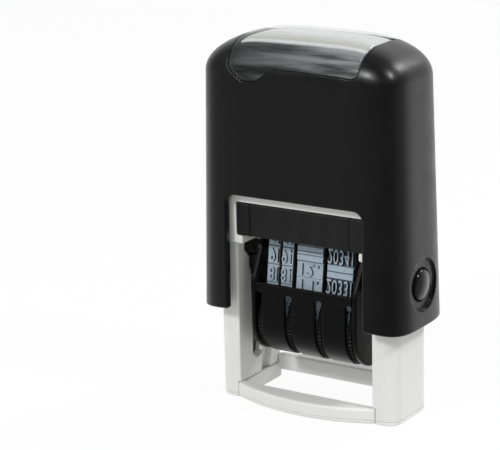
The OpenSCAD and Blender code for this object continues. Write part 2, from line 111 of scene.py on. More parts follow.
# Base
COLUMN_X, COLUMN_OUTER = 15.4, BASE_HI[0]
COLUMN_FRONT, COLUMN_BACK = 6.95, 8.4
CHANNEL = (17.4, 19.2)
LEDGE_Z, LEDGE_X = 33.4, 13.3
TRAY_LOW, TRAY_TOP, TRAY_HALF = 35.15, 42, 14.7
HEAD_TOP, HEAD_HALF_W, HEAD_HALF_D = 44.2, 20, 8.2

# Mechanism
PIVOT_Z, WHEEL_Z, STROKE = 28.0, 17.0, 19.2
SLOT_R = 2.05
GUIDE_ARM, GUIDE_ANGLE, GUIDE_R = 4.5, -37, 1.6
BUTTON_R, RECESS_R, RECESS_X = 3.1, 5.3, 22.6
BUTTON_GAP, BUTTON_HOLE_X = 0.35, 15


# ------------------------------------------------------------------ distance fields

def meet(a, b, r=0.0):
    """Intersection of two fields, with the edge between them rounded to radius r."""
    if r == 0:
        return np.maximum(a, b)
    corner = np.hypot(np.maximum(a + r, 0), np.maximum(b + r, 0))
    return np.minimum(np.maximum(a, b), -r) + corner


def cut(a, b, r=0.0):
    """Field a with b taken away, the edge rounded to radius r."""
    return meet(a, -b, r)


def join(a, b, r=0.0):
    """Union of two fields, with a fillet of radius r in the inside corner."""
    return -meet(-a, -b, r)


def slab(u, lo, hi):
    return np.abs(u - (lo + hi) / 2) - (hi - lo) / 2


def rect(u, v, half_u, half_v, r):
    """Rounded rectangle about the origin in two directions."""
    du = np.abs(u) - (half_u - r)
    dv = np.abs(v) - (half_v - r)
    outside = np.hypot(np.maximum(du, 0), np.maximum(dv, 0))
    return outside + np.minimum(np.maximum(du, dv), 0) - r


def block(x, y, z, lo, hi, r=0.0):
    """Box from lo to hi with edges of radius r."""
    q = [np.abs(c - (a + b) / 2) - ((b - a) / 2 - r) for c, a, b in zip((x, y, z), lo, hi)]
    outside = np.sqrt(sum(np.maximum(d, 0) ** 2 for d in q))
    return outside + np.minimum(np.maximum(np.maximum(q[0], q[1]), q[2]), 0) - r


def rod(u, v, w, r, lo, hi, edge=0.0):
    """Cylinder of radius r about the w axis, from lo to hi."""
    return meet(np.hypot(u, v) - r, slab(w, lo, hi), edge)


def case_envelope(x, y, z, g):
    """Outer form of the case, shrunk by g."""
    height = z - SHOULDER_Z + g
    spread = np.clip((2 * x / CASE_W) ** 2 + (2 * y / CASE_D) ** 2, 0, 1)
    rise = ROOF_RISE + CROWN_RISE * (1 - spread) ** 2
    u = np.clip(height / rise, 0, 0.9998)
    c = np.sqrt(1 - u * u)
    level = np.minimum(z, CASE_TOP) - BOTTOM_Z
    a = CASE_W / 2 - SIDE_TAPER * level - g - ROOF_ROUND_X * (1 - c)
    b = CASE_D / 2 - FACE_TAPER * level - g - ROOF_ROUND_Y * (1 - c)
    px = (np.abs(x) / a) ** SIDE_POWER
    py = (np.abs(y - ROOF_SHIFT * (1 - c)) / b) ** FACE_POWER
    f = np.maximum(px + py, 1e-9)
    slope_a = -SIDE_TAPER - ROOF_ROUND_X * u / (c * rise)
    slope_b = -FACE_TAPER - ROOF_ROUND_Y * u / (c * rise)
    along_x = SIDE_POWER * px / np.maximum(np.abs(x), 1e-6)
    along_y = FACE_POWER * py / np.maximum(np.abs(y - ROOF_SHIFT * (1 - c)), 1e-6)
    along_z = SIDE_POWER * px * slope_a / a + FACE_POWER * py * slope_b / b
    steep = np.sqrt(along_x ** 2 + along_y ** 2 + along_z ** 2) + 1e-12
    side = FACE_POWER * f * (1 - f ** (-1 / FACE_POWER)) / steep
    return np.maximum(side, height - rise)


def cover_prism(x, y, z, c, r=2.2):
    """Prism that bounds the clear cover, grown by c all round."""
    deep = 40
    plan = rect(x, y - COVER_BACK + deep, COVER_HALF + c, deep + c, 1.6)
    arch = 0.45 * np.maximum(1 - (x / COVER_HALF) ** 2, 0)
    lip = rect(x, z - LIP_Z - arch - deep, COVER_HALF + c, deep + c, 1.6)
    tab = rect(x - TAB_X, z - LIP_Z + 2.4 - deep, TAB_HALF + c, deep + c, TAB_HALF - 0.2 + c)
    return np.maximum(plan, join(lip, tab, r))


# ------------------------------------------------------------------ meshing

def axis(lo, hi, cell, *fine):
    """Grid places from lo to hi, spaced by cell, or closer within each (low, high, cell) of fine."""
    places = [lo - 1.5 * cell]
    while places[-1] < hi + 1.5 * cell:
        near = [c for a, b, c in fine if a <= places[-1] <= b]
        ahead = [a - places[-1] for a, b, c in fine if 1e-6 < a - places[-1] < cell]
        places.append(places[-1] + min(near + ahead + [cell]))
    return np.array(places)


def gradient(field, p, h=0.02):
    """Gradient of a field at points p, by central differences."""
    g = np.empty_like(p)
    for k in range(3):
        step = np.zeros(3)
        step[k] = h
        ahead, behind = p + step, p - step
        g[:, k] = (field(*ahead.T) - field(*behind.T)) / (2 * h)
    return g


def net(values, axes):
    """Points and quads of the zero level of a grid of values: one point in each crossed cell."""
    inside = values < 0
    n = np.array(values.shape) - 1
    offsets = [(i, j, k) for i in (0, 1) for j in (0, 1) for k in (0, 1)]
    filled = sum(inside[i:i + n[0], j:j + n[1], k:k + n[2]].astype(np.int8) for i, j, k in offsets)
    active = (filled > 0) & (filled < 8)
    number = np.full(active.shape, -1, np.int64)
    cells = np.argwhere(active)
    number[active] = np.arange(len(cells))
    total = np.zeros((len(cells), 3))
    count = np.zeros(len(cells))
    for k in range(3):
        others = [m for m in range(3) if m != k]
        for i, j in ((0, 0), (0, 1), (1, 0), (1, 1)):
            start = cells.copy()
            start[:, others[0]] += i
            start[:, others[1]] += j
            end = start.copy()
            end[:, k] += 1
            va, vb = values[tuple(start.T)], values[tuple(end.T)]
            hit = (va < 0) != (vb < 0)
            t = np.where(hit, va / np.where(hit, va - vb, 1), 0)
            p = np.stack([axes[m][start[:, m]] for m in range(3)], 1)
            p[:, k] += t * (axes[k][end[:, k]] - axes[k][start[:, k]])
            total[hit] += p[hit]
            count += hit
    quads = []
    for k in range(3):
        a, b = [m for m in range(3) if m != k]
        low = [slice(1, -1)] * 3
        low[k] = slice(0, -1)
        high = list(low)
        high[k] = slice(1, None)
        first, second = inside[tuple(low)], inside[tuple(high)]
        for sign in (0, 1):
            edge = np.argwhere(first & ~second if sign == 0 else ~first & second)
            edge[:, a] += 1
            edge[:, b] += 1
            corner = []
            for i, j in ((0, 0), (1, 0), (1, 1), (0, 1)):
                c = edge.copy()
                c[:, a] -= i
                c[:, b] -= j
                corner.append(number[tuple(c.T)])
            flip = (sign == 0) == (k != 1)
            quads.append(np.stack(corner if flip else corner[::-1], 1))
    return total / count[:, None], np.concatenate(quads)


def relax(points, quads, share):
    """Moves each point part of the way to the middle of its neighbours."""
    total = np.zeros_like(points)
    count = np.zeros(len(points))
    for i in range(4):
        a, b = quads[:, i], quads[:, (i + 1) % 4]
        for p, q in ((a, b), (b, a)):
            np.add.at(total, p, points[q])
            np.add.at(count, p, 1)
    return points + share * (total / count[:, None] - points)


def field_piece(name, field, axes, rounds=2):
    """Quad mesh of the zero level of field, with normals from its gradient."""
    grid = np.meshgrid(*axes, indexing="ij", sparse=True)
    values = field(*grid)
    points, quads = net(values, axes)
    limit = 0.5 * min(np.diff(a).min() for a in axes)
    for turn in range(2 * rounds):
        if turn < rounds:
            points = relax(points, quads, 0.5)
        g = gradient(field, points)
        step = field(*points.T) / np.maximum((g ** 2).sum(1), 0.05)
        step = np.clip(step, -limit, limit)
        points = points - step[:, None] * g
    g = gradient(field, points, 0.03)
    normals = g / np.maximum(np.linalg.norm(g, axis=1), 1e-9)[:, None]
    piece = mesh_piece(name, points, quads)
    piece.data.normals_split_custom_set_from_vertices(normals.tolist())
    return piece


def mesh_piece(name, points, faces, smooth=True):
    """Object from points in millimetres and faces."""
    mesh = bpy.data.meshes.new(name)
    mesh.from_pydata((np.asarray(points) * MM).tolist(), [], [list(map(int, f)) for f in faces])
    mesh.polygons.foreach_set("use_smooth", [smooth] * len(mesh.polygons))
    mesh.update()
    piece = bpy.data.objects.new(name, mesh)
    bpy.context.scene.collection.objects.link(piece)
    return piece


def place(piece, body, slot, material, *nodes):
    """Gives a piece its material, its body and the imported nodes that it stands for."""
    piece.data.materials.clear()
    piece.data.materials.append(material)
    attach(piece, body)
    if nodes:
        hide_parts(*nodes)


# ------------------------------------------------------------------ materials

def material(name):
    """New node material: its tree, its Principled node and an object-space coordinate in metres."""
    m = bpy.data.materials.new(name)
    m.use_nodes = True
    tree = m.node_tree
    shader = tree.nodes["Principled BSDF"]
    place_node = tree.nodes.new("ShaderNodeTexCoord")
    return m, tree, shader, place_node.outputs["Object"]


def noise(tree, coord, scale, detail=3, rough=0.5):
    n = tree.nodes.new("ShaderNodeTexNoise")
    n.inputs["Scale"].default_value = scale
    n.inputs["Detail"].default_value = detail
    n.inputs["Roughness"].default_value = rough
    tree.links.new(coord, n.inputs["Vector"])
    return n.outputs["Fac"]


def remap(tree, value, lo, hi, to_lo, to_hi):
    n = tree.nodes.new("ShaderNodeMapRange")
    for socket, number in zip(("From Min", "From Max", "To Min", "To Max"), (lo, hi, to_lo, to_hi)):
        n.inputs[socket].default_value = number
    tree.links.new(value, n.inputs["Value"])
    return n.outputs["Result"]


def mix_colour(tree, share, first, second):
    n = tree.nodes.new("ShaderNodeMix")
    n.data_type = "RGBA"
    for socket, colour in ((6, first), (7, second)):
        if isinstance(colour, tuple):
            n.inputs[socket].default_value = (*colour, 1)
        else:
            tree.links.new(colour, n.inputs[socket])
    tree.links.new(share, n.inputs[0])
    return n.outputs[2]


def product(tree, first, second):
    n = tree.nodes.new("ShaderNodeMath")
    n.operation = "MULTIPLY"
    tree.links.new(first, n.inputs[0])
    tree.links.new(second, n.inputs[1])
    return n.outputs[0]


def components(tree, vector):
    n = tree.nodes.new("ShaderNodeSeparateXYZ")
    tree.links.new(vector, n.inputs[0])
    return n.outputs


def mix_shaders(tree, share, first, second):
    n = tree.nodes.new("ShaderNodeMixShader")
    for i, source in enumerate((share, first, second)):
        tree.links.new(source, n.inputs[i])
    return n.outputs[0]


def bump(tree, height, distance, strength=1.0, under=None):
    n = tree.nodes.new("ShaderNodeBump")
    n.inputs["Distance"].default_value = distance
    n.inputs["Strength"].default_value = strength
    tree.links.new(height, n.inputs["Height"])
    if under is not None:
        tree.links.new(under, n.inputs["Normal"])
    return n.outputs["Normal"]


def moulded(name, dark, light, rough, grain, grain_size, coat=0.0, ior=1.5):
    """Moulded plastic: faint colour drift, uneven gloss and a fine spark-eroded grain.

    rough is a pair of limits, grain the depth of the texture in metres, grain_size its size."""
    m, tree, shader, coord = material(name)
    drift = noise(tree, coord, 60, 4)
    tree.links.new(mix_colour(tree, remap(tree, drift, 0.35, 0.65, 0, 1), dark, light),
                   shader.inputs["Base Color"])
    gloss = noise(tree, coord, 220, 5, 0.6)
    tree.links.new(remap(tree, gloss, 0.35, 0.65, *rough), shader.inputs["Roughness"])
    fine = noise(tree, coord, 1 / grain_size, 2)
    soft = bump(tree, noise(tree, coord, 90, 2), 0.00002, 0.5)
    tree.links.new(bump(tree, fine, grain, 1.0, soft), shader.inputs["Normal"])
    shader.inputs["IOR"].default_value = ior
    shader.inputs["Coat Weight"].default_value = coat
    shader.inputs["Coat Roughness"].default_value = 0.08
    return m


def clear_plastic():
    """Thin clear shell: lets light straight through and mirrors the studio on its outer face.

    Its front lip carries a painted reflection: a streaked whitish diffuse haze, stronger towards the
    right, standing in for the reflection along the lip."""
    m, tree, shader, coord = material("clear_plastic")
    tree.nodes.remove(shader)
    x, y, _ = components(tree, coord)
    stretch = tree.nodes.new("ShaderNodeMapping")
    stretch.inputs["Scale"].default_value = (0.12, 1, 1)
    tree.links.new(coord, stretch.inputs["Vector"])
    # Painted reflection: a whitish diffuse haze in stretched streaks over the front lip, stronger
    # towards the right, stands in for the reflection seen along the lip.
    streaks = remap(tree, noise(tree, stretch.outputs[0], 420, 3, 0.6), 0.42, 0.6, 0.05, 1)
    on_lip = remap(tree, y, -0.0056, -0.006, 0, 1)
    rightwards = remap(tree, x, -0.016, 0.016, 0.02, 0.24)
    painted_reflection = product(tree, rightwards, product(tree, on_lip, streaks))

    clear = tree.nodes.new("ShaderNodeBsdfTransparent")
    clear.inputs["Color"].default_value = (0.9, 0.91, 0.91, 1)
    haze = tree.nodes.new("ShaderNodeBsdfDiffuse")
    haze.inputs["Color"].default_value = (0.8, 0.81, 0.82, 1)
    polished = tree.nodes.new("ShaderNodeBsdfGlossy")
    polished.inputs["Roughness"].default_value = 0.06

    fresnel = tree.nodes.new("ShaderNodeFresnel")
    fresnel.inputs["IOR"].default_value = 1.49
    inner_face = tree.nodes.new("ShaderNodeNewGeometry").outputs["Backfacing"]
    mirrored = product(tree, fresnel.outputs[0], remap(tree, inner_face, 0, 1, 1, 0))
    body = mix_shaders(tree, painted_reflection, clear.outputs[0], haze.outputs[0])
    surface = mix_shaders(tree, mirrored, body, polished.outputs[0])
    tree.links.new(surface, tree.nodes["Material Output"].inputs["Surface"])
    return m


def card_stock():
    """White card that turns a darker, warm tone towards its front edge, and is white again in a strip
    along that edge.
    """
    m, tree, shader, coord = material("card_stock")
    fibre = noise(tree, coord, 900, 5, 0.7)
    white = mix_colour(tree, fibre, (0.80, 0.795, 0.79), (0.87, 0.865, 0.86))
    y = components(tree, coord)["Y"]
    near_fold = remap(tree, y, -0.001, -0.0046, 0, 0.75)
    past_fold = remap(tree, y, -0.0046, -0.0050, 0, 1)
    warm = mix_colour(tree, near_fold, white, (0.55, 0.53, 0.44))
    tree.links.new(mix_colour(tree, past_fold, warm, white), shader.inputs["Base Color"])
    shader.inputs["Roughness"].default_value = 0.75
    tree.links.new(bump(tree, fibre, 0.00001, 0.4), shader.inputs["Normal"])
    return m


def rubber(name, dark, light):
    """Printing rubber: powdery and matt, with painted shade: faces turned sideways along X, on the
    figures and the band's edges, are darkened nearly to black.
    """
    m, tree, shader, coord = material(name)
    dust = noise(tree, coord, 1400, 5, 0.65)
    powder = mix_colour(tree, remap(tree, dust, 0.3, 0.7, 0, 1), dark, light)
    # Painted shade: the more a face's normal points along X, the closer its colour goes to near-black,
    # in place of the shadows beside the figures.
    surface = tree.nodes.new("ShaderNodeNewGeometry")
    sideways = tree.nodes.new("ShaderNodeMath")
    sideways.operation = "ABSOLUTE"
    tree.links.new(components(tree, surface.outputs["True Normal"])["X"], sideways.inputs[0])
    painted_side_shade = remap(tree, sideways.outputs[0], 0.35, 0.8, 0, 0.95)
    tree.links.new(mix_colour(tree, painted_side_shade, powder, (0.01, 0.012, 0.016)),
                   shader.inputs["Base Color"])
    tree.links.new(remap(tree, dust, 0.3, 0.7, 0.55, 0.75), shader.inputs["Roughness"])
    tree.links.new(bump(tree, noise(tree, coord, 5000, 2), 0.00001, 0.6), shader.inputs["Normal"])
    return m


def felt():
    m, tree, shader, coord = material("inked_felt")
    fibre = noise(tree, coord, 2500, 6, 0.7)
    tree.links.new(mix_colour(tree, fibre, (0.008, 0.01, 0.05), (0.02, 0.03, 0.12)),
                   shader.inputs["Base Color"])
    shader.inputs["Roughness"].default_value = 0.95
    tree.links.new(bump(tree, fibre, 0.0001, 0.8), shader.inputs["Normal"])
    return m


def steel():
    m, tree, shader, coord = material("bright_steel")
    shader.inputs["Metallic"].default_value = 1
    drawn = noise(tree, coord, 1500, 3)
    tree.links.new(mix_colour(tree, drawn, (0.5, 0.5, 0.5), (0.66, 0.66, 0.67)),
                   shader.inputs["Base Color"])
    tree.links.new(remap(tree, drawn, 0.3, 0.7, 0.2, 0.35), shader.inputs["Roughness"])
    return m


CASE_PLASTIC = moulded("case_plastic", (0.005, 0.005, 0.0055), (0.0065, 0.0065, 0.007),
                       (0.3, 0.38), 0.000012, 0.00022)
FRAME_PLASTIC = moulded("frame_plastic", (0.80, 0.807, 0.765), (0.83, 0.837, 0.80),
                        (0.42, 0.5), 0.000006, 0.0003)
CARRIER_PLASTIC = moulded("carrier_plastic", (0.0022, 0.002, 0.0024), (0.003, 0.0027, 0.0031),
                          (0.35, 0.45), 0.00001, 0.00025, ior=1.36)
CARTRIDGE_PLASTIC = moulded("cartridge_plastic", (0.008, 0.008, 0.008), (0.011, 0.011, 0.011),
                            (0.5, 0.6), 0.000012, 0.0002)
BUTTON_PLASTIC = moulded("button_plastic", (0.008, 0.008, 0.008), (0.01, 0.01, 0.01),
                         (0.12, 0.2), 0.000002, 0.0003)
CLEAR_PLASTIC = clear_plastic()
CARD_STOCK = card_stock()
# Painted shade: the band strip, the ground between the raised rows and figures, uses a much darker copy
# of the type rubber in place of the shade in those hollows.
SHADED_BAND_RUBBER = rubber("band_rubber", (0.07, 0.09, 0.11), (0.1, 0.125, 0.15))
TYPE_RUBBER = rubber("type_rubber", (0.34, 0.43, 0.5), (0.43, 0.52, 0.59))
INKED_FELT = felt()
STEEL = steel()


# ------------------------------------------------------------------ case

def case_shell():
    """Black case: window front and rear, seat for the cover, recesses for the lock buttons."""
    edge = 0.45

    def field(x, y, z):
        below = BOTTOM_ARC_R - np.hypot(x, z - BOTTOM_ARC_Z)
        f = meet(case_envelope(x, y, z, 0), below, 0.5)
        inner = np.maximum(case_envelope(x, y, z, CASE_WALL), z - CAVITY_TOP)
        f = cut(f, inner, 0.3)
        window = rect(x, z - WINDOW_TOP + 40, WINDOW_HALF, 40, WINDOW_R)
        f = cut(f, window, edge)
        floor = case_envelope(x, y, z, SKIN_T + CARD_T)
        f = cut(f, cut(cover_prism(x, y, z, COVER_GAP), floor), 0.12)
        side = np.abs(x)
        dz = z - PIVOT_Z
        dip = join(rod(y, dz, side, RECESS_R, RECESS_X, 40),
                   rod(y, dz, side, BUTTON_R + BUTTON_GAP, BUTTON_HOLE_X, 40), 0.1)
        f = cut(f, dip, 0.18)
        post = rod(x, y, z, POST_R, CAVITY_TOP - POST_LENGTH, CAVITY_TOP + 1, 0.3)
        boss = rod(side - BOSS_X, y, z, BOSS_R, BOSS_LOW, CAVITY_TOP + 1)
        return join(join(f, post, 0.3), boss, 0.3)

    cell, close = 0.6, 0.22
    lip = (COVER_LO[2] - 0.4, LIP_Z + 0.6, close)
    axes = [
        axis(-CASE_W / 2, CASE_W / 2, cell, (-23.6, -22.3, close), (-16.1, -13.9, close),
             (13.9, 16.1, close), (22.3, 23.6, close)),
        axis(-CASE_D / 2, CASE_D / 2, 0.45, (COVER_BACK - 0.4, COVER_BACK + 0.5, close)),
        axis(CASE_LOW, CASE_TOP + 0.8, cell, (CASE_LOW - 0.3, BOTTOM_Z + 0.7, close),
             (PIVOT_Z - 5.6, PIVOT_Z + 5.6, 0.3), (WINDOW_TOP - 2.2, WINDOW_TOP + 0.7, close),
             lip, (LIP_Z + 0.6, CASE_TOP + 0.8, 0.4)),
    ]
    piece = field_piece("case_shell", field, axes)
    place(piece, "case", "case_plastic", CASE_PLASTIC, "outer_case")


def clear_cover():
    """Clear cover that follows the roof, with softened edges and a lift tab."""

    def field(x, y, z):
        skin = cut(case_envelope(x, y, z, 0), case_envelope(x, y, z, SKIN_T), 0.1)
        return meet(skin, cover_prism(x, y, z, 0), 0.25)

    axes = [axis(COVER_LO[0], COVER_HI[0], 0.35), axis(COVER_LO[1], COVER_HI[1], 0.3),
            axis(COVER_LO[2], COVER_HI[2] + 0.5, 0.22)]
    piece = field_piece("clear_cover_shell", field, axes)
    place(piece, "cover", "clear_plastic", CLEAR_PLASTIC, "clear_cover")


def roof_height(x, y, g):
    """Height of the case envelope shrunk by g above each (x, y)."""
    low, high = np.full(x.shape, SHOULDER_Z - 5.0), np.full(x.shape, CASE_TOP + 1.0)
    for _ in range(24):
        middle = (low + high) / 2
        below = case_envelope(x, y, middle, g) < 0
        low, high = np.where(below, middle, low), np.where(below, high, middle)
    return (low + high) / 2


def index_card():
    """Blank card that lies on its seat under the clear cover and follows the roof."""
    nx, ny = 56, 80
    u, v = np.meshgrid(np.linspace(-CARD_HALF, CARD_HALF, nx), np.linspace(CARD_FRONT, CARD_BACK, ny),
                       indexing="ij")
    top = roof_height(u, v, SKIN_T + 0.05)
    low = roof_height(u, v, SKIN_T + CARD_T - 0.03)
    points = np.concatenate([np.stack([u, v, z], -1).reshape(-1, 3) for z in (top, low)])
    index = np.arange(nx * ny).reshape(nx, ny)
    upper = np.stack([index[:-1, :-1], index[1:, :-1], index[1:, 1:], index[:-1, 1:]], -1).reshape(-1, 4)
    rim = np.concatenate([index[:-1, 0], index[-1, :-1], index[:0:-1, -1], index[0, :0:-1]])
    ahead = np.roll(rim, -1)
    wall = np.stack([rim + nx * ny, ahead + nx * ny, ahead, rim], -1)
    piece = mesh_piece("index_card_sheet", points,
                       np.concatenate([upper, upper[:, ::-1] + nx * ny, wall]))
    place(piece, "case", "card", CARD_STOCK, "index_card")


# ------------------------------------------------------------------ base

def guide_path(n=60):
    """Places of the guide pin as the case goes down, in the (y, z) plane."""
    turn = np.radians(np.linspace(0, 180, n))
    angle = turn + math.radians(GUIDE_ANGLE)
    return np.stack([GUIDE_ARM * np.sin(angle),
                     PIVOT_Z - STROKE * turn / math.pi + GUIDE_ARM * np.cos(angle)], 1)


GUIDE = guide_path()


def guide_distance(y, z):
    """Distance from the guide pin's path, in the (y, z) plane."""
    best = np.full(np.broadcast(y, z).shape, 1e9)
    for (y0, z0), (y1, z1) in zip(GUIDE[:-1], GUIDE[1:]):
        dy, dz = y1 - y0, z1 - z0
        t = np.clip(((y - y0) * dy + (z - z0) * dz) / (dy * dy + dz * dz), 0, 1)
        best = np.minimum(best, np.hypot(y - y0 - t * dy, z - z0 - t * dz))
    return best


def column_plan(x, y):
    """Plan of both columns: small corner radius at the front, wide at the rear."""
    r = np.where(y < 0, 3.0, 4.5)
    middle = (COLUMN_BACK - COLUMN_FRONT) / 2
    half = (COLUMN_BACK + COLUMN_FRONT) / 2
    du = np.abs(x) - (COLUMN_OUTER - r)
    dv = np.abs(y - middle) - (half - r)
    outside = np.hypot(np.maximum(du, 0), np.maximum(dv, 0))
    return outside + np.minimum(np.maximum(du, dv), 0) - r


def rim_line(z, d):
    """Fine parting line just above the table, in a wall whose field is d."""
    return np.maximum(slab(z, 0.6, 0.8), -d - 0.12)


def base_body():
    """Light frame: two columns, the head with the cartridge tray, slots and guides."""

    def field(x, y, z):
        side = np.abs(x)
        plan = column_plan(x, y)
        column = meet(plan, slab(z, 0, LEDGE_Z), 0.3)
        column = cut(column, side - COLUMN_X, 0.3)
        head = meet(rect(x, y, HEAD_HALF_W, HEAD_HALF_D, 3.5), slab(z, LEDGE_Z, HEAD_TOP), 0.35)
        f = join(column, head, 0.3)
        f = join(f, rod(x, y, z, 5.2, HEAD_TOP - 1, HEAD_TOP + 2.6, 0.2), 0.3)
        f = cut(f, block(x, y, z, (-TRAY_HALF, -30, TRAY_LOW), (TRAY_HALF, 30, TRAY_TOP)), 0.2)
        f = cut(f, block(x, y, z, (-LEDGE_X, -30, -9), (LEDGE_X, 30, TRAY_LOW + 0.5)), 0.25)
        f = cut(f, rod(x, y, z, 4.4, HEAD_TOP, HEAD_TOP + 9), 0.1)
        f = cut(f, block(side, y, z, (CHANNEL[0], -4.6, 3.9), (CHANNEL[1], 4.6, 60)))
        slot = rect(y, z - PIVOT_Z + STROKE / 2, SLOT_R, STROKE / 2 + SLOT_R, SLOT_R)
        f = cut(f, np.maximum(slot, side - CHANNEL[0] - 0.1), 0.15)
        foot = rect(y - GUIDE[-1, 0], z - 4, GUIDE_R, 1.5, 0)
        track = np.minimum(guide_distance(y, z) - GUIDE_R, foot)
        track = np.maximum(track, side - COLUMN_X - 1.3)
        f = cut(f, track, 0.12)
        f = cut(f, rod(y, z - PIVOT_Z, side, SLOT_R, CHANNEL[1] - 0.1, 30), 0.15)
        f = cut(f, np.maximum(side - 16, z - 3.2), 0.05)
        return cut(f, rim_line(z, plan), 0.05)

    close = 0.25
    axes = [
        axis(-COLUMN_OUTER, COLUMN_OUTER, 0.5, (-21, -14.2, close), (-13.8, -12.8, close),
             (12.8, 13.8, close), (14.2, 21, close)),
        axis(-8.3, 8.5, 0.35),
        axis(0, BASE_HI[2], 0.4, (-0.2, 1.2, 0.1), (2.9, 4.2, close), (32.9, 35.9, close),
             (41.5, 44.6, close)),
    ]
    piece = field_piece("base_body", field, axes)
    place(piece, "base", "frame_plastic", FRAME_PLASTIC, "base_frame")


def foot_ring():
    """Ring under the columns: bowed front bar, raised rear bar and two side rails."""
    end = FOOT_HI[0]
    height, rear_low, rear_top = 3.15, 1.6, 5.2
    bow = 3.6
    front_r = (end * end + bow * bow) / (2 * bow)
    rear_bow = 2.1
    rear_r = (end * end + rear_bow * rear_bow) / (2 * rear_bow)
    front_y = COLUMN_FRONT + bow
    rear_y = COLUMN_BACK + rear_bow

    def field(x, y, z):
        side = np.abs(x)
        outer = np.hypot(x, y + front_y - front_r) - front_r
        plan = meet(np.maximum(outer, y + 5.45), side - end, 0.05)
        front = meet(plan, slab(z, 0, height), 0.55)
        front = cut(front, rim_line(z, outer), 0.05)
        back = np.hypot(x, y - rear_y + rear_r) - rear_r
        rear = meet(np.maximum(back, 7.4 - y), side - 15.35, 0.05)
        rear = meet(rear, slab(z, rear_low, rear_top), 0.45)
        rails = block(side, y, z, (15, -6.5, 0), (end, 8.2, height), 0.2)
        return join(join(front, rails, 0.4), rear, 0.5)

    axes = [axis(-end, end, 0.35, (-16.2, -14.8, 0.2), (14.8, 16.2, 0.2)),
            axis(-front_y, rear_y, 0.25),
            axis(0, rear_top, 0.25, (-0.2, 1.1, 0.1))]
    piece = field_piece("foot_ring", field, axes)
    place(piece, "base", "frame_plastic", FRAME_PLASTIC, "foot_frame")


def cartridge_body():
    """Ink cartridge: matt box, open below, with shallow flutes and an end cap line."""
    w, d = INK_HI[0], INK_HI[1]
    cap_x, flute_depth, flute_pitch = 11.4, 0.14, 4.5

    def field(x, y, z):
        fluted = np.abs(x) < 2.5 * flute_pitch
        wave = flute_depth / 2 * (1 - np.cos(2 * math.pi * x / flute_pitch)) * fluted
        body = block(x, y * d / (d - wave), z, (-w, -d, INK_LO[2]), (w, d, INK_HI[2]), 0.3)
        line = np.maximum(np.abs(np.abs(x) - cap_x) - 0.12, d - 0.25 - np.abs(y))
        body = cut(body, line, 0.05)
        hollow = block(x, y, z, (-11.5, -6.9, 30), (11.5, 6.9, 40.5))
        return cut(body, hollow, 0.15)

    axes = [axis(-w, w, 0.35, (-cap_x - 0.5, 0.5 - cap_x, 0.1), (cap_x - 0.5, cap_x + 0.5, 0.1)),
            axis(-d, d, 0.3, (-d - 0.1, 0.4 - d, 0.12), (d - 0.4, d + 0.1, 0.12)),
            axis(INK_LO[2], INK_HI[2], 0.3)]
    piece = field_piece("cartridge_body", field, axes)
    place(piece, "base", "cartridge_plastic", CARTRIDGE_PLASTIC, "ink_cartridge")


# ------------------------------------------------------------------ bands and wheels

BAND_T, TYPE_H = 1.0, 0.75
WHEEL_R, BRIDGE_R = 4.6, 1.2
CORNER_Y, CORNER_Z = 1.0, 33.8
RUN = math.hypot(CORNER_Y, CORNER_Z - WHEEL_Z)
RUN_A = math.atan2(CORNER_Z - WHEEL_Z, CORNER_Y) - math.acos((WHEEL_R - BRIDGE_R) / RUN)
TOP_LEN = 2 * CORNER_Y
CORNER_LEN = (BRIDGE_R + BAND_T) * (math.pi / 2 - RUN_A)
RUN_LEN = math.sqrt(RUN ** 2 - (WHEEL_R - BRIDGE_R) ** 2)
WHEEL_LEN = (WHEEL_R + BAND_T) * (math.pi + 2 * RUN_A)
LOOP_LEN = TOP_LEN + 2 * (CORNER_LEN + RUN_LEN) + WHEEL_LEN


def on_loop(s, d):
    """Place (y, z) at distance s round the band from the middle of the line it prints, and d
    outside the band's inner face. Positive s runs towards the rear."""
    s = (np.asarray(s, float) + LOOP_LEN / 2) % LOOP_LEN - LOOP_LEN / 2
    a, side = np.abs(s), np.where(s < 0, -1.0, 1.0)
    past_top = a - TOP_LEN / 2
    past_corner = past_top - CORNER_LEN
    past_run = past_corner - RUN_LEN
    n = np.where(past_corner < 0, math.pi / 2 - np.maximum(past_top, 0) / (BRIDGE_R + BAND_T),
                 np.where(past_run < 0, RUN_A, RUN_A - past_run / (WHEEL_R + BAND_T)))
    centre_y = np.where(past_run < 0, np.where(past_top < 0, a, CORNER_Y), 0)
    centre_z = np.where(past_run < 0, CORNER_Z, WHEEL_Z)
    r = np.where(past_run < 0, BRIDGE_R, WHEEL_R) + d
    along = np.where((past_corner > 0) & (past_run < 0), past_corner, 0)
    y = centre_y + r * np.cos(n) + along * math.sin(RUN_A)
    z = centre_z + r * np.sin(n) - along * math.cos(RUN_A)
    return side * y, z


def band_strip(name, x0, x1):
    """Closed rubber strip round the bridge and the wheel."""
    places = np.arange(0, LOOP_LEN, LOOP_LEN / 160)
    section = [(0, 0.08), (0, 0.92), (0.08, 1)]
    ring = [(x0 + u, d) for u, d in section] + [(x1 - u, d) for u, d in section[::-1]]
    points = []
    for u, d in ring:
        y, z = on_loop(places, d * BAND_T)
        points.append(np.stack([np.full_like(y, u), y, z], 1))
    points = np.stack(points, 1)
    n, m = points.shape[:2]
    index = np.arange(n * m).reshape(n, m)
    ahead, beside = np.roll(index, -1, 0), np.roll(index, -1, 1)
    faces = np.stack([index, ahead, np.roll(ahead, -1, 1), beside], -1).reshape(-1, 4)
    piece = mesh_piece(name, points.reshape(-1, 3), faces)
    piece.data.set_sharp_from_angle(angle=math.radians(40))
    return piece


